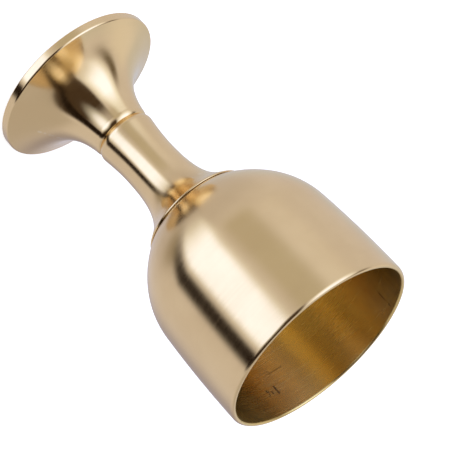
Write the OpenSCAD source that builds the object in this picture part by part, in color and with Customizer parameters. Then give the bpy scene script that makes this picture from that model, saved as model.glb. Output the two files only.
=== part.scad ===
// Bar jigger: a bell-shaped large cup and a trumpet-shaped small cup, joined by a hollow turned stem.
// The axis is Z and the origin is the centre of the small cup's rim, which is the foot it stands on.
// A stud inside the stem draws the two cups together and clamps the stem between them.

/* [Large cup] */
// Outside radius of the wall at the mouth
cup_r = 24.2; // [23.6:0.05:24.6]
// Height of the mouth above the foot
cup_top = 86.85; // [85:0.05:90]
// Wall thickness of both cups
wall = 1.1; // [0.9:0.05:1.2]
// Height of the floor's outside at the axis
dome_z = 40.2; // [39.9:0.1:40.5]
// Outside radius where the dome turns into the wall
dome_r = 23.16; // [22.9:0.01:23.4]
// Height where the dome turns into the wall
dome_top = 61.8; // [60:0.1:64]
// Outward lean of the wall at that height, in degrees
wall_lean = 5; // [3:0.5:6]
// Reach of the dome's curve along the floor
floor_pull = 8.6; // [8.2:0.1:9]
// Reach of the dome's curve down from the wall
dome_pull = 13.3; // [12.8:0.1:13.8]
// Height of the rounding on the lip's outer edge
lip_round = 0.9; // [0.6:0.05:1.1]
// Height of the rounding on the lip's inner edge
lip_inside = 0.5; // [0.3:0.05:0.7]
// Width of the flat ring on top of the lip
lip_flat = 0.15; // [0.1:0.05:0.3]

/* [Measure marks] */
// Height of the measuring line inside the large cup
line_z = 76.3; // [70:0.1:78]
// Depth of the engraving
mark_depth = 0.1; // [0.05:0.01:0.2]
// Width of an engraved stroke
mark_w = 0.3; // [0.2:0.05:0.4]
// Height of a figure
figure_h = 2.4; // [1.8:0.1:2.8]

/* [Stem] */
// Height of the joint between the small cup and the stem
joint_z = 18.1; // [18:0.05:18.3]
// Outside radius of the stem's shoulder
shoulder_r = 7; // [6.8:0.01:7.1]
// Height of the shoulder's rounded edge
shoulder_h = 1.5; // [1.2:0.1:1.8]
// Outside radius at the waist
waist_r = 6.42; // [6.3:0.01:6.6]
// Height of the waist
waist_z = 27.5; // [26:0.1:29]
// Reach of the flare's curve up from the waist
waist_pull = 11.6; // [11:0.1:12]
// Outside radius where the flare's rounded edge starts
flare_r = 12.95; // [12.7:0.05:13.2]
// Height where the flare's rounded edge starts
flare_z = 44.35; // [44.2:0.05:44.45]
// Lean of the flare at its edge, in degrees from the axis
flare_lean = 51; // [48:0.5:54]
// Reach of the flare's curve back from its edge
flare_pull = 4.8; // [4.4:0.1:5.2]
// Radius of the flare's rounded edge
flare_round = 0.3; // [0.2:0.05:0.4]
// Radius of the stem's bore
bore_r = 5; // [4.9:0.05:5.1]

/* [Small cup] */
// Outside radius of the rim
rim_r = 20.45; // [20:0.05:21]
// Height of the rim's upright band
rim_h = 1.65; // [1.5:0.05:1.8]
// Radius of the rounding between the band and the trumpet
rim_round = 0.55; // [0.4:0.05:0.7]
// Lean of the trumpet at the rim, in degrees from the axis
horn_lean = 68.5; // [64:0.5:70]
// Reach of the trumpet's curve in from the rim
horn_pull = 11.9; // [11.2:0.1:12.4]
// Outside radius of the neck
neck_r = 7.02; // [6.9:0.01:7.1]
// Height where the neck's rounded collar starts
neck_z = 16.6; // [16.4:0.1:16.8]
// Lean of the neck below the collar, in degrees from the axis
neck_lean = 10.5; // [9:0.5:12]
// Reach of the trumpet's curve down from the neck
neck_pull = 4.6; // [4.2:0.1:5]

/* [Hidden fixings] */
// Radius of the tie stud
stud_r = 2.5; // [2:0.25:3]
// Radius of the plug that closes the small cup's neck
plug_r = 5.6; // [5.4:0.05:5.7]
// Height of the small cup's floor
small_floor_z = 14.6; // [14.4:0.1:14.8]
// Radius of the boss under the large cup
boss_r = 4.8; // [4.4:0.1:4.9]
// Height of the boss's lower face
boss_z = 35.6; // [34:0.1:36.5]

/* [Hidden] */
$fn = 96;
gold = "#c8a878";
steel = "#b9bbbd";
curve_steps = 16;
// Radius at the bottom of the groove between the collar and the shoulder
groove_r = 6.2;
edge = 0.25;
// Inside radius of the flat ring under the rim
inner_land_r = rim_r - 0.8;
// Share of the wall's thickness taken by the rounding on the lip's outer edge
lip_share = 0.55;
// Reach of the wall's curve at both of its ends
side_pull = 8;
// Places round the axis, in degrees: the measuring line and its sweep, then the figures from right to left
line_turn = 57;
line_sweep = 9;
figure_turn = 54;
half_turn = 49.5;
side_turn = 139.5;
// Engraved strokes start this far inside the wall
mark_start = 0.4;
// The figures stand this far above the measuring line
figure_gap = 3;
// The shoulder's curve: its step inward, its reach up from the shoulder and its reach down from the waist
shoulder_in = 0.2;
shoulder_pull = 1.9;
waist_low_pull = 3.5;
// The stem is drawn this far above its flare's edge, then trimmed to fit the dome
flare_spare = 2;
spigot_top = joint_z + 2.6;
// The stud stands this far above the small cup's floor and stops this far below the large one's
stud_low = small_floor_z + 2.2;
stud_top = dome_z - 0.9;
thread_relief = 0.3;
dish = 0.6;

// Points and directions are [radius, height]. A lean is an angle from the axis, outward.
function along(lean) = [sin(lean), cos(lean)];
function around(turn) = [cos(turn), sin(turn)];
function bezier(c, t) =
    pow(1 - t, 3) * c[0] + 3 * pow(1 - t, 2) * t * c[1] + 3 * (1 - t) * t * t * c[2] + pow(t, 3) * c[3];
function slope(c, t) =
    3 * pow(1 - t, 2) * (c[1] - c[0]) + 6 * (1 - t) * t * (c[2] - c[1]) + 3 * t * t * (c[3] - c[2]);
// A point of the curve, moved to the left of its direction of travel
function shifted(c, t, gap) = let (d = slope(c, t)) bezier(c, t) + gap * [-d[1], d[0]] / norm(d);
function outline(c, gap, from = 0, to = 1) =
    [for (i = [0:curve_steps]) shifted(c, from + (to - from) * i / curve_steps, gap)];
function backward(points) = [for (i = [len(points) - 1:-1:0]) points[i]];
// A quarter round from point a to point b that leaves a upright and reaches b level
function quarter(a, b) = [for (t = [0:15:90]) [b[0] + (a[0] - b[0]) * cos(t), a[1] + (b[1] - a[1]) * sin(t)]];

// Large cup: floor and dome, then the wall up to the lip
dome = [
    [0, dome_z],
    [floor_pull, dome_z],
    [dome_r, dome_top] - dome_pull * along(wall_lean),
    [dome_r, dome_top]
];
lip_z = cup_top - lip_round;
side = [
    [dome_r, dome_top],
    [dome_r, dome_top] + side_pull * along(wall_lean),
    [cup_r, lip_z - side_pull],
    [cup_r, lip_z]
];
mouth_r = cup_r - wall;

// Stem: the stretch from the shoulder to the waist, then the flare
shoulder = [
    [shoulder_r, joint_z + shoulder_h],
    [shoulder_r - shoulder_in, joint_z + shoulder_h + shoulder_pull],
    [waist_r, waist_z - waist_low_pull],
    [waist_r, waist_z]
];
flare = [
    [waist_r, waist_z],
    [waist_r, waist_z + waist_pull],
    [flare_r, flare_z] - flare_pull * along(flare_lean),
    [flare_r, flare_z]
];
flare_tip = flare[3] - flare_round * around(-flare_lean);
flare_wall = waist_r - bore_r;

// Small cup: the trumpet, from its rim up to its neck
horn_start = [rim_r - rim_round * (1 - cos(horn_lean)), rim_h + rim_round * sin(horn_lean)];
horn = [
    horn_start,
    horn_start + horn_pull * [-sin(horn_lean), cos(horn_lean)],
    [neck_r, neck_z] + neck_pull * [sin(neck_lean), -cos(neck_lean)],
    [neck_r, neck_z]
];
// The part of the trumpet's inside that lies below the plug
horn_inside = [for (p = outline(horn, wall)) if (p[1] < small_floor_z) p];

module spin(points) {
    rotate_extrude() polygon(points);
}

// Everything inside the large cup's outside surface, as one solid
module cup_blank() {
    spin(concat(
        outline(dome, 0),
        outline(side, 0),
        [[mouth_r, cup_top], [0, cup_top]]
    ));
}

module large_cup() {
    color(gold)
    difference() {
        cup_shell();
        measure_line();
        rotate(figure_turn) stroke(0, 0, figure_h);
        rotate(half_turn) half_figure();
        rotate(side_turn) side_figure();
    }
}

module cup_shell() {
    flat_r = cup_r - lip_share * wall;
    lip_out = quarter([cup_r, lip_z], [flat_r, cup_top]);
    lip_in = quarter([mouth_r, cup_top - lip_inside], [flat_r - lip_flat, cup_top]);
    spin(concat(
        outline(dome, 0),
        outline(side, 0, from = 0.05),
        lip_out,
        backward(lip_in),
        backward(outline(side, wall, from = 0.05, to = 0.98)),
        backward(outline(dome, wall))
    ));
}

// Engraved strokes start on the inside of the wall and cut outward into it
mark_r = mouth_r - mark_start;
mark_reach = mark_start + mark_depth;

module measure_line() {
    rotate(line_turn)
    rotate_extrude(angle = line_sweep)
    translate([mark_r, line_z])
    square([mark_reach, mark_w]);
}

// A stroke on the wall at angle zero: x runs round the wall to the right, h is its height above the
// foot of the figures
module stroke(x, h, length, tilt = 0) {
    translate([mark_r, -x, line_z + figure_gap + h])
    rotate([tilt, 0, 0])
    translate([0, -mark_w / 2, 0])
    cube([mark_reach, mark_w, length]);
}

module half_figure() {
    stroke(-0.5, 0.9, 0.9);
    stroke(0.1, 0.4, 1.6, tilt = -20);
    stroke(0.6, 0.2, 0.8);
}

module side_figure() {
    stroke(0, 2.1, 2.2);
    stroke(0.1, 5.4, 0.8);
}

// Tapped boss, welded under the large cup's floor and shaped to fit it
module cup_boss() {
    color(steel)
    difference() {
        translate([0, 0, boss_z]) cylinder(r = boss_r, h = dome_z + 1.5 - boss_z);
        cup_blank();
        translate([0, 0, boss_z - 1]) cylinder(r = stud_r, h = stud_top + thread_relief - boss_z + 1);
    }
}

module tie_stud() {
    tip = 0.5;
    color(steel)
    spin([
        [0, stud_low],
        [stud_r - tip, stud_low],
        [stud_r, stud_low + tip],
        [stud_r, stud_top - tip],
        [stud_r - tip, stud_top],
        [0, stud_top]
    ]);
}

// Sleeve with a rounded shoulder below and a flare above that sits on the dome
module stem() {
    color(gold)
    difference() {
        spin(concat(
            quarter([shoulder_r, joint_z + shoulder_h], [groove_r, joint_z]),
            [[bore_r, joint_z], [bore_r, waist_z]],
            outline(flare, flare_wall, from = 0.02),
            [flare_tip + [flare_round, flare_spare]],
            [for (t = [75:-15:15]) flare_tip + flare_round * around(t - flare_lean)],
            backward(outline(flare, 0)),
            backward(outline(shoulder, 0, to = 0.95))
        ));
        cup_blank();
    }
}

// Trumpet with an upright band round its rim and a rounded collar at its neck
module small_cup() {
    color(gold)
    spin(concat(
        [[inner_land_r, 0], [rim_r - edge, 0]],
        [[rim_r, edge]],
        [for (i = [0:4]) horn_start + rim_round * (around(horn_lean * i / 5) - around(horn_lean))],
        outline(horn, 0),
        quarter([neck_r, neck_z], [groove_r, joint_z]),
        [[plug_r, joint_z], [plug_r, small_floor_z]],
        backward(horn_inside)
    ));
}

// Turned plug that closes the neck, with a shallow dish as the cup's floor and a spigot for the stem
module neck_plug() {
    hole_z = stud_low - thread_relief;
    dish_r = plug_r - edge;
    color(gold)
    difference() {
        spin(concat(
            [for (t = [0:0.125:1]) [dish_r * t, small_floor_z + dish * (1 - t * t)]],
            [[plug_r, small_floor_z], [plug_r, joint_z]],
            [[bore_r, joint_z], [bore_r, spigot_top - edge]],
            [[bore_r - edge, spigot_top], [0, spigot_top]]
        ));
        translate([0, 0, hole_z]) cylinder(r = stud_r, h = spigot_top - hole_z + 1);
    }
}

large_cup();
cup_boss();
tie_stud();
stem();
small_cup();
neck_plug();
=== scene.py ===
"""Bar jigger in champagne gold: a bell-shaped large cup and a trumpet-shaped small cup on a waisted stem.

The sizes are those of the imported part. Z is the common axis and the small cup's rim stands on the floor.
"""

import math

import bpy
import numpy as np
from bpy.props import FloatProperty, FloatVectorProperty, PointerProperty
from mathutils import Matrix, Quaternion, Vector


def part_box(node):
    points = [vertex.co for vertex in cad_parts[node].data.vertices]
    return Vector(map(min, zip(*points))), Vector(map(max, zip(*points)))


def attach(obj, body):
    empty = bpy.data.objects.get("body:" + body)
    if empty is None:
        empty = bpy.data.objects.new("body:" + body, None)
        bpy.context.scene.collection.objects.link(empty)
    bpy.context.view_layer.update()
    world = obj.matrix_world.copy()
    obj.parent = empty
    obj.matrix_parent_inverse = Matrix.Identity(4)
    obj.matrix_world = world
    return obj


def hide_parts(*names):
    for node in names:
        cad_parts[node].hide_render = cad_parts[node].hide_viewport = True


bl_info = {
    "name": "Bar jigger",
    "version": (1, 0, 0),
    "blender": (4, 5, 0),
    "location": "3D View > Sidebar > Jigger",
    "description": "Builds a double-ended bar jigger around its packed frame",
    "category": "Object",
}

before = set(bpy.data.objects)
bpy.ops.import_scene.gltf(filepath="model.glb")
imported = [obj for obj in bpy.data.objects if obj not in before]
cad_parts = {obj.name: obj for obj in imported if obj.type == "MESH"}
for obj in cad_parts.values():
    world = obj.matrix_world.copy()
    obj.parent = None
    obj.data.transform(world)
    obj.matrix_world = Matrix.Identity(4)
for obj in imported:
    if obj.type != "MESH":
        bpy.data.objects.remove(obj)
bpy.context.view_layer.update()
CUP_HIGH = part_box("large_cup")[1]
STEM_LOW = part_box("stem")[0]
FOOT_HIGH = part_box("small_cup")[1]
MM = 0.001


def measured(label, about, value):
    """A size in metres, such as one taken from the frame."""
    return FloatProperty(name=label, description=about, default=value, unit="LENGTH", precision=5)


def length(label, about, value):
    """A size given in millimetres and kept in metres."""
    return measured(label, about, value * MM)


def angle(label, about, degrees):
    """An angle given in degrees and kept in radians."""
    return FloatProperty(name=label, description=about, default=math.radians(degrees), subtype="ANGLE")


def share(label, about, value):
    """A number from 0 to 1."""
    return FloatProperty(name=label, description=about, default=value, min=0.0, max=1.0, subtype="FACTOR")


def tone(label, about, rgb):
    """A colour in linear light."""
    return FloatVectorProperty(
        name=label, description=about, default=rgb, size=3, min=0.0, soft_max=1.0, subtype="COLOR"
    )


# ---------------------------------------------------------------- sizes


class JiggerLargeCup(bpy.types.PropertyGroup):
    top: measured("Top", "Height of the mouth", CUP_HIGH.z)
    radius: measured("Mouth radius", "Outside radius at the mouth", CUP_HIGH.x)
    wall: length("Wall", "Thickness of the shell", 1.1)
    floor: length("Floor", "Height of the floor's outside on the axis", 40.2)
    dome_radius: length("Dome radius", "Radius where the dome turns into the wall", 23.16)
    dome_top: length("Dome top", "Height where the dome turns into the wall", 61.8)
    wall_lean: angle("Wall lean", "Outward lean of the wall above the dome", 5.0)
    floor_pull: length("Floor pull", "Reach of the dome's curve along the floor", 8.6)
    dome_pull: length("Dome pull", "Reach of the dome's curve down from the wall", 13.3)
    side_pull: length("Side pull", "Reach of the wall's curve at both of its ends", 8.0)
    lip: length("Lip", "Height of the rounding outside the lip", 0.9)
    lip_inside: length("Lip inside", "Height of the rounding inside the lip", 0.5)
    lip_flat: length("Lip flat", "Width of the flat ring on top of the lip", 0.15)
    lip_share: share("Lip share", "Share of the wall's thickness in the rounding outside the lip", 0.55)


class JiggerMarks(bpy.types.PropertyGroup):
    line: length("Line", "Height of the measuring line", 76.3)
    line_turn: angle("Line turn", "Where the measuring line starts round the axis", 57.0)
    line_sweep: angle("Line sweep", "How far the measuring line runs round the axis", 9.0)
    figure: length("Figure", "Height of a figure", 2.4)
    stroke: length("Stroke", "Width of an etched stroke", 0.3)
    skin: length("Skin", "How far the etched marks stand off the wall", 0.02)


class JiggerStem(bpy.types.PropertyGroup):
    joint: measured("Joint", "Height of the joint with the small cup", STEM_LOW.z)
    shoulder: length("Shoulder", "Radius of the shoulder", 7.0)
    shoulder_rise: length("Shoulder rise", "Height of the shoulder's rounded edge", 1.5)
    shoulder_in: length("Shoulder step", "How far the shoulder's curve steps inward", 0.2)
    shoulder_pull: length("Shoulder pull", "Reach of the shoulder's curve up from the shoulder", 1.9)
    waist_low_pull: length("Waist low pull", "Reach of the shoulder's curve down from the waist", 3.5)
    groove: length("Groove", "Radius at the bottom of the joint's groove", 6.2)
    waist: length("Waist", "Radius at the waist", 6.42)
    waist_height: length("Waist height", "Height of the waist", 27.5)
    waist_pull: length("Waist pull", "Reach of the flare's curve up from the waist", 11.6)
    flare: length("Flare", "Radius where the flare's rounded edge starts", 12.95)
    flare_height: length("Flare height", "Height where the flare's rounded edge starts", 44.35)
    flare_lean: angle("Flare lean", "Lean of the flare at its edge, from the axis", 51.0)
    flare_pull: length("Flare pull", "Reach of the flare's curve back from its edge", 4.8)
    flare_round: length("Flare rounding", "Radius of the flare's rounded edge", 0.3)
    bore: length("Bore", "Radius of the bore", 5.0)


class JiggerSmallCup(bpy.types.PropertyGroup):
    rim: measured("Rim", "Outside radius of the rim", FOOT_HIGH.x)
    band: length("Band", "Height of the upright band round the rim", 1.65)
    rounding: length("Rounding", "Radius between the band and the trumpet", 0.55)
    edge: length("Edge", "Rounding of the rim's edges", 0.25)
    inner_edge: length("Inner edge", "Reach inward of the rounding inside the rim", 0.2)
    land: length("Land", "Width from the rim to the inside of the flat ring that it stands on", 0.8)
    horn_lean: angle("Horn lean", "Lean of the trumpet at the rim, from the axis", 68.5)
    horn_pull: length("Horn pull", "Reach of the trumpet's curve in from the rim", 11.9)
    neck: length("Neck", "Radius of the neck", 7.02)
    neck_height: length("Neck height", "Height where the collar starts", 16.6)
    neck_lean: angle("Neck lean", "Lean of the neck below the collar", 10.5)
    neck_pull: length("Neck pull", "Reach of the trumpet's curve down from the neck", 4.6)
    floor: length("Floor", "Height of the cup's floor", 14.6)
    plug: length("Plug", "Radius of the plug in the neck", 5.6)


class JiggerGold(bpy.types.PropertyGroup):
    colour: tone("Colour", "Champagne gold plating", (0.92, 0.70, 0.37))
    # Inside: painted shade and painted gold-on-gold reflection inside the large cup, given as a deeper,
    # darker gold
    inside: tone("Inside", "Plating inside the large cup", (0.86, 0.65, 0.25))
    worn: tone("Worn edge", "Thinned plating on the edges", (0.95, 0.80, 0.52))
    gloss: share("Roughness", "Mean roughness of the polish", 0.19)
    shine: share("Trumpet shine", "How much smoother the small cup is", 0.05)
    lay: share("Lay", "How strongly the turned polish spreads light across its lines", 0.7)
    dull: share("Dull inside", "How much rougher the inside of a cup is", 0.06)
    lay_inside: share("Lay inside", "How strongly the inside's polish spreads light across its lines", 0.88)
    gloss_spread: share("Roughness spread", "How much the roughness changes over the surface", 0.05)
    grain: length("Grain depth", "Depth of the fine lathe lines", 0.0006)
    relief: share("Grain relief", "How strongly the fine lathe lines catch the light", 0.5)
    relief_inside: share("Grain relief inside", "How strongly they do so inside a cup", 0.06)
    etch: tone("Etched marks", "Colour in the etched marks", (0.16, 0.085, 0.025))
    etch_depth: length("Etch grain depth", "Depth of the etched marks' mottling", 0.01)


class JiggerSteel(bpy.types.PropertyGroup):
    colour: tone("Colour", "Bare turned steel", (0.56, 0.57, 0.58))
    worn: tone("Worn edge", "Bright steel on the edges", (0.75, 0.75, 0.75))
    gloss: share("Roughness", "Mean roughness", 0.34)
    gloss_spread: share("Roughness spread", "How much the roughness changes over the surface", 0.12)
    grain: length("Grain depth", "Depth of the lathe lines", 0.01)


class JiggerStage(bpy.types.PropertyGroup):
    target: length("Target height", "Height that the camera looks at", 52.81)
    aside: length("Target aside", "How far to the left of the axis the camera looks", 1.704)
    distance: length("Distance", "From the camera to the axis", 648.31)
    elevation: angle("Elevation", "Angle that the camera looks down", 22.66)
    roll: angle("Roll", "Turn of the camera about its own axis", 137.19)
    lens: FloatProperty(name="Lens", description="Focal length", default=226.98, unit="CAMERA")
    floor: tone("Floor", "Plain pale floor", (0.93, 0.93, 0.93))
    floor_half: length("Floor half width", "Half the width of the floor", 4000.0)
    floor_gap: length("Floor gap", "How far the floor lies below the small cup's rim", 0.02)
    floor_glow: share("Floor glow", "How strongly the floor shines by itself", 0.75)
    backdrop: tone("Backdrop", "Plain pale backdrop", (0.95, 0.95, 0.95))
    room: tone("Room", "Grey of the room round the object", (0.655, 0.645, 0.765))


# ---------------------------------------------------------------- outlines
# A run is a list of ((radius, height), (normal's radius, normal's height)), in metres, along the outline.

# Two points closer than this are one point, and two normals whose product is above this nearly agree
SAME_PLACE = 1e-8
SAME_WAY = 0.96
# A radius below this lies on the axis
ON_AXIS = 1e-7
OUTWARD, INWARD, UPWARD, DOWNWARD = (1.0, 0.0), (-1.0, 0.0), (0.0, 1.0), (0.0, -1.0)


def lean_step(lean, reach):
    """A step upward along a line that leans outward from the axis."""
    return np.array((math.sin(lean), math.cos(lean))) * reach


def curve_run(c, steps, gap=0.0, first=0.0, last=1.0):
    """Points of a cubic curve, moved to the right of its travel by gap, with normals to the right."""
    a, b, d, e = (np.array(p, float) for p in c)
    run = []
    for t in np.linspace(first, last, steps + 1):
        point = (1 - t) ** 3 * a + 3 * (1 - t) ** 2 * t * b + 3 * (1 - t) * t * t * d + t ** 3 * e
        way = (1 - t) ** 2 * (b - a) + 2 * (1 - t) * t * (d - b) + t * t * (e - d)
        way /= np.linalg.norm(way)
        side = np.array((way[1], -way[0]))
        run.append((point + gap * side, side))
    return run


def round_run(corner, reach_r, reach_z, start, end, steps):
    """A rounding about a centre, from one angle to another, with its own reach outward and upward."""
    run = []
    for t in np.linspace(start, end, steps + 1):
        point = (corner[0] + reach_r * math.cos(t), corner[1] + reach_z * math.sin(t))
        side = np.array((math.cos(t) * reach_z, math.sin(t) * reach_r))
        run.append((np.array(point), side / np.linalg.norm(side)))
    return run


def flat_run(a, b, steps=1):
    """A straight line from a to b with its normal to the right."""
    a, b = np.array(a, float), np.array(b, float)
    way = (b - a) / np.linalg.norm(b - a)
    side = np.array((way[1], -way[0]))
    return [(a + (b - a) * t, side) for t in np.linspace(0, 1, steps + 1)]


def back(run):
    """The same run travelled the other way, with its normals on the other side."""
    return [(p, -n) for p, n in reversed(run)]


def corner_run(point, *normals):
    """One point with several normals, which makes a sharp corner there."""
    return [(np.array(point, float), np.array(normal, float)) for normal in normals]


def joined(*runs):
    """One outline from several runs. A point that two runs share is kept once if their normals agree."""
    line = []
    for p, n in (entry for run in runs for entry in run):
        if line and np.linalg.norm(line[-1][0] - p) < SAME_PLACE and np.dot(line[-1][1], n) > SAME_WAY:
            between = line[-1][1] + n
            line[-1] = (p, between / np.linalg.norm(between))
        else:
            line.append((p, n))
    return line


def lathe(name, line, turns, closed):
    """Turns an outline about the Z axis into a mesh with the outline's own normals."""
    verts, normals, rings = [], [], []
    spin = [(math.cos(a), math.sin(a)) for a in np.linspace(0, 2 * math.pi, turns, endpoint=False)]
    for p, n in line:
        if p[0] < ON_AXIS:
            rings.append([len(verts)])
            verts.append((0.0, 0.0, p[1]))
            normals.append((0.0, 0.0, math.copysign(1.0, n[1])))
            continue
        rings.append(range(len(verts), len(verts) + turns))
        verts += [(p[0] * c, p[0] * s, p[1]) for c, s in spin]
        normals += [(n[0] * c, n[0] * s, n[1]) for c, s in spin]
    faces = []
    pairs = list(zip(rings, rings[1:]))
    if closed:
        pairs.append((rings[-1], rings[0]))
    for low, high in pairs:
        for i in range(turns):
            j = (i + 1) % turns
            if len(low) == 1:
                faces.append((low[0], high[j], high[i]))
            elif len(high) == 1:
                faces.append((low[i], low[j], high[0]))
            else:
                faces.append((low[i], low[j], high[j], high[i]))
    mesh = bpy.data.meshes.new(name)
    mesh.from_pydata(verts, [], faces)
    if mesh.validate():
        raise RuntimeError(f"the outline of {name} gave a faulty mesh")
    mesh.shade_smooth()
    mesh.normals_split_custom_set_from_vertices(normals)
    piece = bpy.data.objects.new(name, mesh)
    bpy.context.scene.collection.objects.link(piece)
    return piece


# ---------------------------------------------------------------- finishes

# A hollow piece turns over from its outside to its inside where the surface faces the axis this little
TURN_OVER = 0.002
# The shader counts its turns from 0 to 1
QUARTER_TURN = 0.25


def add(tree, kind, **inputs):
    """A shader node with its inputs set by name."""
    node = tree.nodes.new(kind)
    for name, value in inputs.items():
        node.inputs[name].default_value = value
    return node


def math_node(tree, operation, a, b=None, c=None):
    """A sum, product or other step; each term is a number or another node's output."""
    node = tree.nodes.new("ShaderNodeMath")
    node.operation = operation
    for socket, value in zip(node.inputs, (a, b, c)):
        if value is None:
            continue
        if isinstance(value, (int, float)):
            socket.default_value = value
        else:
            tree.links.new(value, socket)
    return node.outputs[0]


def ramp(tree, value, low, high, start=0.0, end=1.0):
    """A soft step from start to end while value goes from low to high."""
    node = tree.nodes.new("ShaderNodeMapRange")
    node.interpolation_type = "SMOOTHSTEP"
    tree.links.new(value, node.inputs["Value"])
    for key, number in (("From Min", low), ("From Max", high), ("To Min", start), ("To Max", end)):
        node.inputs[key].default_value = number
    return node.outputs["Result"]


def blend_colour(tree, factor, a, b):
    """Goes from colour a to colour b as the factor goes from 0 to 1."""
    node = tree.nodes.new("ShaderNodeMix")
    node.data_type = "RGBA"
    tree.links.new(factor, node.inputs[0])
    for socket, value in ((node.inputs[6], a), (node.inputs[7], b)):
        if isinstance(value, tuple):
            socket.default_value = (*value, 1.0)
        else:
            tree.links.new(value, socket)
    return node.outputs[2]


def object_place(tree):
    """Where a point of the surface lies, in metres."""
    return tree.nodes.new("ShaderNodeTexCoord").outputs["Object"]


def speckle(tree, size, detail=2.0):
    """Even noise, with the number of its lumps per metre."""
    noise = add(tree, "ShaderNodeTexNoise", Scale=size, Detail=detail)
    tree.links.new(object_place(tree), noise.inputs["Vector"])
    return noise.outputs["Fac"]


def turned_noise(tree, along, across, detail):
    """Noise that runs round the axis: long streaks along the turning direction, fine across it."""
    split = tree.nodes.new("ShaderNodeSeparateXYZ")
    tree.links.new(object_place(tree), split.inputs[0])
    x, y, z = split.outputs
    square = math_node(tree, "MULTIPLY", x, x)
    radius = math_node(tree, "SQRT", math_node(tree, "MULTIPLY_ADD", y, y, square))
    safe = math_node(tree, "MAXIMUM", radius, 1e-5)
    place = tree.nodes.new("ShaderNodeCombineXYZ")
    tree.links.new(math_node(tree, "MULTIPLY", math_node(tree, "DIVIDE", x, safe), along), place.inputs[0])
    tree.links.new(math_node(tree, "MULTIPLY", math_node(tree, "DIVIDE", y, safe), along), place.inputs[1])
    tree.links.new(math_node(tree, "MULTIPLY", z, across), place.inputs[2])
    noise = add(tree, "ShaderNodeTexNoise", Scale=1.0, Detail=detail)
    noise.noise_dimensions = "4D"
    tree.links.new(place.outputs[0], noise.inputs["Vector"])
    tree.links.new(math_node(tree, "MULTIPLY", radius, across), noise.inputs["W"])
    return noise.outputs["Fac"]


def facing_axis(tree):
    """Above zero where the surface faces the axis, below zero where it faces outward."""
    coordinates = tree.nodes.new("ShaderNodeTexCoord")
    level = tree.nodes.new("ShaderNodeVectorMath")
    level.operation = "MULTIPLY"
    level.inputs[1].default_value = (-1.0, -1.0, 0.0)
    tree.links.new(coordinates.outputs["Object"], level.inputs[0])
    product = tree.nodes.new("ShaderNodeVectorMath")
    product.operation = "DOT_PRODUCT"
    tree.links.new(level.outputs[0], product.inputs[0])
    tree.links.new(coordinates.outputs["Normal"], product.inputs[1])
    return product.outputs["Value"]


def worn_edge(tree, start, full):
    """Rises from 0 on flat stretches to 1 on sharp outer edges."""
    return ramp(tree, tree.nodes.new("ShaderNodeNewGeometry").outputs["Pointiness"], start, full)


def new_finish(name, metal):
    """A new material with its tree and its shader."""
    material = bpy.data.materials.new(name)
    material.use_nodes = True
    shader = material.node_tree.nodes["Principled BSDF"]
    shader.inputs["Metallic"].default_value = metal
    return material, material.node_tree, shader


def roughen(tree, shader, height, depth, strength):
    """Raises the surface by depth where height is 1."""
    bump = add(tree, "ShaderNodeBump", Strength=strength, Distance=depth)
    tree.links.new(height, bump.inputs["Height"])
    tree.links.new(bump.outputs["Normal"], shader.inputs["Normal"])
    return bump


def gold_finish(name, gold, shade=1.0, hollow=False, shine=0.0):
    """Plated champagne gold with a fine turned polish, faint cloudiness and paler edges.

    A hollow piece is duller where it faces the axis, and its colour there is a deeper, darker gold that is
    painted shade and painted gold-on-gold reflection; shine makes a piece smoother.
    """
    material, tree, shader = new_finish(name, metal=1.0)
    cloud = speckle(tree, 90.0, detail=3.0)
    streak = turned_noise(tree, 2.2, 2600.0, 3.0)
    fine = turned_noise(tree, 9.0, 16000.0, 2.0)
    edge = worn_edge(tree, 0.53, 0.62)
    full = tuple(c * shade for c in gold.colour)
    deep = tuple(c * d for c, d in zip(full, (0.965, 0.955, 0.94)))
    colour = blend_colour(tree, ramp(tree, cloud, 0.35, 0.65), full, deep)
    colour = blend_colour(tree, math_node(tree, "MULTIPLY", edge, 0.5), colour, tuple(gold.worn))
    gloss, spread = gold.gloss - shine, gold.gloss_spread / 2
    rough = ramp(tree, streak, 0.3, 0.7, gloss - spread, gloss + spread)
    rough = math_node(tree, "ADD", rough, ramp(tree, cloud, 0.4, 0.75, 0.0, 0.02))
    rough = math_node(tree, "MULTIPLY_ADD", edge, -0.04, rough)
    bump = roughen(tree, shader, math_node(tree, "ADD", fine, streak), gold.grain, gold.relief)
    shader.inputs["Anisotropic"].default_value = gold.lay
    if hollow:
        facing = facing_axis(tree)
        hidden = ramp(tree, facing, -TURN_OVER, TURN_OVER)
        # Painted shade and painted reflection: where the surface faces the axis, the colour turns to the
        # deeper, darker inside gold
        colour = blend_colour(tree, hidden, colour, tuple(gold.inside))
        rough = math_node(tree, "MULTIPLY_ADD", hidden, gold.dull, rough)
        relief = ramp(tree, facing, -TURN_OVER, TURN_OVER, gold.relief, gold.relief_inside)
        tree.links.new(relief, bump.inputs["Strength"])
        lay = ramp(tree, facing, -TURN_OVER, TURN_OVER, gold.lay, gold.lay_inside)
        tree.links.new(lay, shader.inputs["Anisotropic"])
    tree.links.new(colour, shader.inputs["Base Color"])
    tree.links.new(rough, shader.inputs["Roughness"])
    # The polish runs round the axis, so it spreads light along the axis
    tangent = tree.nodes.new("ShaderNodeTangent")
    tangent.direction_type = "RADIAL"
    tangent.axis = "Z"
    tree.links.new(tangent.outputs[0], shader.inputs["Tangent"])
    shader.inputs["Anisotropic Rotation"].default_value = QUARTER_TURN
    return material


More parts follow.
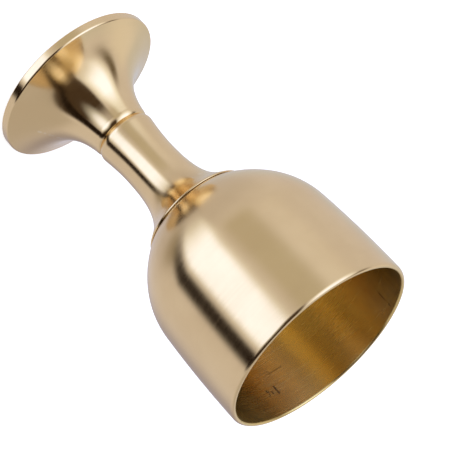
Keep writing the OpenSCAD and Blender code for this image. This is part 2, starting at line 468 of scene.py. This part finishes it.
def steel_finish(name, steel):
    """Bare turned steel."""
    material, tree, shader = new_finish(name, metal=1.0)
    streak = turned_noise(tree, 3.0, 5000.0, 3.0)
    full = tuple(steel.colour)
    colour = blend_colour(tree, streak, full, tuple(0.8 * c for c in full))
    edge = math_node(tree, "MULTIPLY", worn_edge(tree, 0.52, 0.6), 0.4)
    colour = blend_colour(tree, edge, colour, tuple(steel.worn))
    tree.links.new(colour, shader.inputs["Base Color"])
    spread = steel.gloss_spread / 2
    rough = ramp(tree, streak, 0.3, 0.7, steel.gloss - spread, steel.gloss + spread)
    tree.links.new(rough, shader.inputs["Roughness"])
    roughen(tree, shader, streak, steel.grain, 0.4)
    return material


def etched_finish(name, gold):
    """Dark etched marks: matt, slightly mottled."""
    material, tree, shader = new_finish(name, metal=0.6)
    mottle = speckle(tree, 9000.0)
    dark = tuple(gold.etch)
    colour = blend_colour(tree, mottle, dark, tuple(1.6 * c for c in dark))
    tree.links.new(colour, shader.inputs["Base Color"])
    tree.links.new(ramp(tree, mottle, 0.3, 0.7, 0.5, 0.65), shader.inputs["Roughness"])
    roughen(tree, shader, mottle, gold.etch_depth, 1.0)
    return material


def dress(piece, material, slot, *nodes):
    """Gives a new piece its finish and its place in the frame."""
    piece.data.materials.append(material)
    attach(piece, "root")
    if nodes:
        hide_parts(*nodes)


# ---------------------------------------------------------------- pieces


def cup_curves(cup):
    """The outside of the large cup: its floor and dome, then its wall up to the lip."""
    turn = np.array((cup.dome_radius, cup.dome_top))
    dome = [(0, cup.floor), (cup.floor_pull, cup.floor), turn - lean_step(cup.wall_lean, cup.dome_pull), turn]
    lip = cup.top - cup.lip
    side = [
        turn,
        turn + lean_step(cup.wall_lean, cup.side_pull),
        (cup.radius, lip - cup.side_pull),
        (cup.radius, lip),
    ]
    return dome, side


def cup_inside_radius(cup, height):
    """Inside radius of the large cup's wall at a height."""
    run = curve_run(cup_curves(cup)[1], 200, gap=-cup.wall)
    return float(np.interp(height, [p[1] for p, n in run], [p[0] for p, n in run]))


class JIGGER_OT_large_cup(bpy.types.Operator):
    """Turns the large cup: dome, wall and lip, outside and inside"""
    bl_idname = "jigger.large_cup"
    bl_label = "Large cup"

    def execute(self, context):
        cup, gold = context.scene.jigger_large_cup, context.scene.jigger_gold
        dome, side = cup_curves(cup)
        outer = cup.lip_share * cup.wall
        inner = cup.wall - outer - cup.lip_flat
        lip_out = (cup.radius - outer, cup.top - cup.lip)
        lip_in = (cup.radius - cup.wall + inner, cup.top - cup.lip_inside)
        line = joined(
            curve_run(dome, 90),
            curve_run(side, 60),
            round_run(lip_out, outer, cup.lip, 0, math.pi / 2, 14),
            flat_run((lip_out[0], cup.top), (lip_in[0], cup.top), 2),
            round_run(lip_in, inner, cup.lip_inside, math.pi / 2, math.pi, 12),
            back(curve_run(side, 60, gap=-cup.wall, last=0.98)),
            back(curve_run(dome, 90, gap=-cup.wall)),
        )
        piece = lathe("large_cup_shell", line, 256, closed=False)
        dress(piece, gold_finish("large_cup_gold", gold, hollow=True), "large_cup_gold", "large_cup")
        return {"FINISHED"}


# The flare's seat on the dome stops this far from the bore and from the flare's edge
SEAT_TRIM = 0.12 * MM


class JIGGER_OT_stem(bpy.types.Operator):
    """Turns the stem: rounded shoulder, waist and the flare that lies on the large cup's dome"""
    bl_idname = "jigger.stem"
    bl_label = "Stem"

    def execute(self, context):
        scene = context.scene
        stem, cup, gold = scene.jigger_stem, scene.jigger_large_cup, scene.jigger_gold
        start = stem.joint + stem.shoulder_rise
        waist = (stem.waist, stem.waist_height)
        shoulder = [
            (stem.shoulder, start),
            (stem.shoulder - stem.shoulder_in, start + stem.shoulder_pull),
            (stem.waist, stem.waist_height - stem.waist_low_pull),
            waist,
        ]
        edge = np.array((stem.flare, stem.flare_height))
        flare = [
            waist,
            (stem.waist, stem.waist_height + stem.waist_pull),
            edge - lean_step(stem.flare_lean, stem.flare_pull),
            edge,
        ]
        turn, lean = stem.flare_round, stem.flare_lean
        centre = edge - turn * np.array((math.cos(lean), -math.sin(lean)))
        seat = [
            (p, -n) for p, n in curve_run(cup_curves(cup)[0], 120)
            if stem.bore - SEAT_TRIM < p[0] < stem.flare - SEAT_TRIM
        ]
        line = joined(
            round_run((stem.groove, start), stem.shoulder - stem.groove, stem.shoulder_rise,
                      -math.pi / 2, 0, 16),
            curve_run(shoulder, 40)[1:],
            curve_run(flare, 80),
            round_run(centre, turn, turn, -lean, math.radians(75) - lean, 12),
            list(reversed(seat)),
            corner_run((stem.bore, seat[0][0][1]), INWARD),
            corner_run((stem.bore, stem.joint), INWARD, DOWNWARD),
        )
        piece = lathe("stem_sleeve", line, 192, closed=True)
        dress(piece, gold_finish("stem_gold", gold), "stem_gold", "stem")
        return {"FINISHED"}


def horn_curve(foot):
    """The outside of the trumpet, from its rim up to its neck."""
    lean, turn = foot.horn_lean, foot.rounding
    edge = np.array((foot.rim - turn * (1 - math.cos(lean)), foot.band + turn * math.sin(lean)))
    neck = np.array((foot.neck, foot.neck_height))
    return [
        edge,
        edge + lean_step(-lean, foot.horn_pull),
        neck - lean_step(-foot.neck_lean, foot.neck_pull),
        neck,
    ]


class JIGGER_OT_small_cup(bpy.types.Operator):
    """Turns the small cup: flat foot, upright rim band, trumpet and neck collar, outside and inside"""
    bl_idname = "jigger.small_cup"
    bl_label = "Small cup"

    def execute(self, context):
        scene = context.scene
        foot, cup, stem = scene.jigger_small_cup, scene.jigger_large_cup, scene.jigger_stem
        gold, edge, turn = scene.jigger_gold, foot.edge, foot.rounding
        horn = horn_curve(foot)
        inside = [(p, -n) for p, n in curve_run(horn, 90, gap=-cup.wall) if p[1] < foot.floor]
        low, high = inside[0][0][0], inside[-1][0][0]
        line = joined(
            flat_run((foot.rim - foot.land, 0), (foot.rim - edge, 0), 2),
            round_run((foot.rim - edge, edge), edge, edge, -math.pi / 2, 0, 8),
            flat_run((foot.rim, edge), (foot.rim, foot.band), 4),
            round_run((foot.rim - turn, foot.band), turn, turn, 0, foot.horn_lean, 10),
            curve_run(horn, 120),
            round_run((stem.groove, foot.neck_height), foot.neck - stem.groove,
                      stem.joint - foot.neck_height, 0, math.pi / 2, 16),
            corner_run((foot.plug, stem.joint), UPWARD, INWARD),
            corner_run((foot.plug, foot.floor), INWARD, DOWNWARD),
            corner_run((high, foot.floor), DOWNWARD),
            list(reversed(inside)),
            round_run((low + foot.inner_edge, edge), foot.inner_edge, edge, math.pi, 1.5 * math.pi, 6)[1:],
        )
        piece = lathe("small_cup_shell", line, 256, closed=True)
        dress(piece, gold_finish("small_cup_gold", gold, shine=gold.shine), "small_cup_gold", "small_cup")
        return {"FINISHED"}


class JIGGER_OT_marks(bpy.types.Operator):
    """Etches the measuring line and the small figures on the inside of the large cup"""
    bl_idname = "jigger.marks"
    bl_label = "Measure marks"

    def execute(self, context):
        scene = context.scene
        marks, cup = scene.jigger_marks, scene.jigger_large_cup
        verts, faces = [], []

        def stroke(ends, width):
            """A band on the wall between two (angle, height) ends."""
            (a0, z0), (a1, z1) = ends
            radius = cup_inside_radius(cup, (z0 + z1) / 2)
            way = np.array(((a1 - a0) * radius, z1 - z0))
            side = np.array((-way[1], way[0])) / np.linalg.norm(way) * width / 2
            steps = max(2, int(abs(a1 - a0) / math.radians(1)))
            base = len(verts)
            for t in np.linspace(0, 1, steps + 1):
                for sign in (-1, 1):
                    a = a0 + (a1 - a0) * t + sign * side[0] / radius
                    z = z0 + (z1 - z0) * t + sign * side[1]
                    r = cup_inside_radius(cup, z) - marks.skin
                    verts.append((r * math.cos(a), r * math.sin(a), z))
            for k in range(base, base + 2 * steps, 2):
                faces.append((k, k + 1, k + 3, k + 2))

        def mark(turn, rise, tall, lean=0.0, wide=1.0):
            """A stroke of a figure.

            It stands at a turn in degrees and a rise in millimetres above the line. It leans by some degrees
            round the wall as it goes up, and is wide times as wide as a plain stroke.
            """
            low, high = marks.line + rise * MM, marks.line + (rise + tall) * MM
            stroke(((math.radians(turn), low), (math.radians(turn + lean), high)), wide * marks.stroke)

        end = marks.line_turn + marks.line_sweep
        stroke(((marks.line_turn, marks.line), (end, marks.line)), 0.5 * marks.stroke)
        mark(turn=54, rise=3.0, tall=marks.figure / MM, wide=1.4)
        mark(turn=50.7, rise=3.9, tall=0.9)
        mark(turn=49.2, rise=3.4, tall=1.6, lean=-1.3, wide=0.5)
        mark(turn=48, rise=3.2, tall=0.8)
        mark(turn=139.5, rise=5.1, tall=2.2, wide=0.8)
        mark(turn=139.2, rise=8.4, tall=0.8, wide=0.8)
        mesh = bpy.data.meshes.new("measure_marks")
        mesh.from_pydata(verts, [], faces)
        piece = bpy.data.objects.new("measure_marks", mesh)
        scene.collection.objects.link(piece)
        dress(piece, etched_finish("etched_marks", scene.jigger_gold), "large_cup_gold")
        return {"FINISHED"}


class JIGGER_OT_fixings(bpy.types.Operator):
    """Finishes the plug in the neck and the hidden boss and stud"""
    bl_idname = "jigger.fixings"
    bl_label = "Plug and hidden fixings"

    def execute(self, context):
        plating = gold_finish("plug_gold", context.scene.jigger_gold, shade=0.97)
        bare = steel_finish("plain_steel", context.scene.jigger_steel)
        for node, material in (("neck_plug", plating), ("cup_boss", bare), ("tie_stud", bare)):
            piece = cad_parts[node]
            for slot in piece.material_slots:
                slot.material = material
            if not piece.material_slots:
                raise RuntimeError(f"{node} has no material slot")
        return {"FINISHED"}


# ---------------------------------------------------------------- stage


class JIGGER_OT_stage(bpy.types.Operator):
    """Sets the pale floor, the soft studio light and the camera"""
    bl_idname = "jigger.stage"
    bl_label = "Stage"

    def execute(self, context):
        scene = context.scene
        self.lay_floor(scene)
        self.hang_lights(scene)
        self.place_camera(scene)
        scene.view_settings.view_transform = "Standard"
        return {"FINISHED"}

    def lay_floor(self, scene):
        stage = scene.jigger_stage
        half = stage.floor_half
        corners = [(-half, -half, 0), (half, -half, 0), (half, half, 0), (-half, half, 0)]
        mesh = bpy.data.meshes.new("floor")
        mesh.from_pydata(corners, [], [(0, 1, 2, 3)])
        floor = bpy.data.objects.new("floor", mesh)
        scene.collection.objects.link(floor)
        floor.location.z = -stage.floor_gap
        material, tree, shader = new_finish("pale_floor", metal=0.0)
        shader.inputs["Base Color"].default_value = (*stage.floor, 1.0)
        shader.inputs["Roughness"].default_value = 0.9
        shader.inputs["Emission Color"].default_value = (1.0, 1.0, 1.0, 1.0)
        shader.inputs["Emission Strength"].default_value = stage.floor_glow
        shader.inputs["Specular IOR Level"].default_value = 0.0
        material.cycles.emission_sampling = "NONE"
        mesh.materials.append(material)
        # The metal mirrors the room and its panels, not the floor
        floor.visible_glossy = False

    def hang_lights(self, scene):
        """Paints the studio round the object: grey room, dark ceiling and flag, and two softboxes.

        A direction is a turn round the axis and a rise above the horizon, in degrees. The turn is 0 towards
        -Y and grows towards +X.
        """
        world = bpy.data.worlds.new("studio")
        scene.world = world
        world.use_nodes = True
        tree = world.node_tree
        split = tree.nodes.new("ShaderNodeSeparateXYZ")
        tree.links.new(tree.nodes.new("ShaderNodeTexCoord").outputs["Generated"], split.inputs[0])
        x, y, z = split.outputs
        front = math_node(tree, "MULTIPLY", y, -1.0)
        turn = math_node(tree, "DEGREES", math_node(tree, "ARCTAN2", x, front))
        rise = math_node(tree, "DEGREES", math_node(tree, "ARCSINE", z))

        def sloping(slope, height):
            """The turn, for a side that leans by slope degrees per degree of rise and is true at height."""
            return math_node(tree, "ADD", turn, math_node(tree, "MULTIPLY_ADD", rise, slope, -slope * height))

        def arched(bend, middle):
            """The rise for an upper side that is highest at the middle turn."""
            off = math_node(tree, "SUBTRACT", turn, middle)
            return math_node(tree, "MULTIPLY_ADD", math_node(tree, "MULTIPLY", off, off), bend, rise)

        def panel(tint, over, left, right, bottom, top, turn_left=turn, turn_right=turn, rise_top=rise):
            """A soft-edged panel over a background.

            The left side and the bottom are (where it starts, where it is full). The right side and the top
            are (where it starts to fade, where it is gone).
            """
            mask = ramp(tree, turn_left, *left)
            mask = math_node(tree, "MULTIPLY", mask, ramp(tree, turn_right, *right, start=1.0, end=0.0))
            mask = math_node(tree, "MULTIPLY", mask, ramp(tree, rise, *bottom))
            mask = math_node(tree, "MULTIPLY", mask, ramp(tree, rise_top, *top, start=1.0, end=0.0))
            return blend_colour(tree, mask, over, tint)

        # The room, cooler at the back left and darker underneath
        room = tuple(scene.jigger_stage.room)
        colour = blend_colour(tree, ramp(tree, turn, -132, -150), room, (0.61, 0.63, 0.72))
        colour = blend_colour(tree, ramp(tree, rise, -40, -62), colour, (0.57, 0.555, 0.65))
        # Glow at the back left
        colour = panel((0.74, 0.73, 0.81), colour,
                       left=(-160, -148), right=(-134, -114), bottom=(10, 28), top=(38, 58))
        # Shade at the back right, deeper low down, and low on the right
        colour = panel((0.50, 0.485, 0.54), colour,
                       left=(78, 92), right=(164, 178), bottom=(4, 30), top=(72, 86))
        colour = panel((0.37, 0.35, 0.42), colour,
                       left=(116, 154), right=(162, 178), bottom=(-40, -18), top=(4, 26))
        colour = panel((0.36, 0.33, 0.31), colour,
                       left=(60, 74), right=(84, 126), bottom=(-84, -68), top=(-60, -44))
        # Shade between the key and the fill, and a faint glow under the fill
        colour = panel((0.52, 0.50, 0.49), colour,
                       left=(-64, -36), right=(-20, -2), bottom=(-48, -34), top=(-4, 4))
        colour = panel((0.70, 0.69, 0.80), colour,
                       left=(-92, -76), right=(-60, -44), bottom=(-40, -26), top=(-8, 2))
        # Dark ceiling in front, the dark flag to the right of it, and a dim strip left of the fill
        colour = panel((0.06, 0.04, 0.027), colour,
                       left=(-24, -12), right=(66, 80), bottom=(-14, 14), top=(76, 86),
                       turn_right=sloping(-0.45, 20))
        colour = panel((0.014, 0.008, 0.005), colour,
                       left=(50.5, 56.5), right=(68, 78), bottom=(-92, -38), top=(74, 84))
        slant = sloping(0.475, 40)
        colour = panel((0.15, 0.125, 0.10), colour,
                       left=(-122, -109), right=(-104, -91), bottom=(4, 34), top=(48, 70),
                       turn_left=slant, turn_right=slant)
        # Key and fill softboxes, each with a paler halo
        halo, glow = (0.97, 1.05, 1.28), (1.25, 1.46, 2.34)
        crown = arched(0.06, 26)
        colour = panel(halo, colour,
                       left=(-11, 5), right=(45, 52), bottom=(-84, -50), top=(-18, 44), rise_top=crown)
        colour = panel(glow, colour,
                       left=(-3, 9), right=(42, 50), bottom=(-68, -38), top=(-14, 16), rise_top=crown)
        # The fill leans, and its right side is tucked in below a rise of 20 degrees
        lean = sloping(0.32, 28)
        below = math_node(tree, "MAXIMUM", math_node(tree, "MULTIPLY_ADD", rise, -0.7, 14), 0)
        tuck = math_node(tree, "ADD", turn, below)
        colour = panel(halo, colour, left=(-94, -80), right=(-34, -14), bottom=(-26, 6), top=(56, 84),
                       turn_left=lean, turn_right=tuck)
        colour = panel(glow, colour, left=(-84, -68), right=(-50, -24), bottom=(-8, 24), top=(46, 72),
                       turn_left=lean, turn_right=tuck)
        # The backdrop itself is plain
        seen = tree.nodes.new("ShaderNodeLightPath").outputs["Is Camera Ray"]
        colour = blend_colour(tree, seen, colour, tuple(scene.jigger_stage.backdrop))
        tree.links.new(colour, tree.nodes["Background"].inputs["Color"])

    def place_camera(self, scene):
        stage = scene.jigger_stage
        data = bpy.data.cameras.new("camera")
        camera = bpy.data.objects.new("camera", data)
        scene.collection.objects.link(camera)
        data.lens = stage.lens
        data.sensor_width = 36.0
        data.clip_start = 0.01
        forward = Vector((0, math.cos(stage.elevation), -math.sin(stage.elevation)))
        target = Vector((-stage.aside, 0, stage.target))
        camera.location = target - forward * stage.distance
        camera.rotation_mode = "QUATERNION"
        camera.rotation_quaternion = (-forward).to_track_quat("Z", "Y") @ Quaternion((0, 0, 1), stage.roll)
        scene.camera = camera


class JIGGER_PT_panel(bpy.types.Panel):
    """Lists what builds the jigger, in order"""
    bl_idname = "JIGGER_PT_panel"
    bl_label = "Bar jigger"
    bl_space_type = "VIEW_3D"
    bl_region_type = "UI"
    bl_category = "Jigger"

    def draw(self, context):
        for operator in OPERATORS:
            self.layout.operator(operator.bl_idname)
        for key in GROUPS:
            group = getattr(context.scene, key)
            box = self.layout.box()
            box.label(text=key.replace("jigger_", "").replace("_", " ").capitalize())
            for name in group.__annotations__:
                box.prop(group, name)


GROUPS = {
    "jigger_large_cup": JiggerLargeCup,
    "jigger_marks": JiggerMarks,
    "jigger_stem": JiggerStem,
    "jigger_small_cup": JiggerSmallCup,
    "jigger_gold": JiggerGold,
    "jigger_steel": JiggerSteel,
    "jigger_stage": JiggerStage,
}
OPERATORS = (
    JIGGER_OT_large_cup,
    JIGGER_OT_marks,
    JIGGER_OT_stem,
    JIGGER_OT_small_cup,
    JIGGER_OT_fixings,
    JIGGER_OT_stage,
)


def register():
    """Registers the sizes, the operators and the panel."""
    for key, group in GROUPS.items():
        bpy.utils.register_class(group)
        setattr(bpy.types.Scene, key, PointerProperty(type=group))
    for operator in OPERATORS:
        bpy.utils.register_class(operator)
    bpy.utils.register_class(JIGGER_PT_panel)


def unregister():
    """Takes away what register added."""
    bpy.utils.unregister_class(JIGGER_PT_panel)
    for operator in reversed(OPERATORS):
        bpy.utils.unregister_class(operator)
    for key, group in GROUPS.items():
        delattr(bpy.types.Scene, key)
        bpy.utils.unregister_class(group)


def main():
    """Builds the jigger and its stage."""
    register()
    bpy.ops.jigger.large_cup()
    bpy.ops.jigger.marks()
    bpy.ops.jigger.stem()
    bpy.ops.jigger.small_cup()
    bpy.ops.jigger.fixings()
    bpy.ops.jigger.stage()


if __name__ == "__main__":
    main()
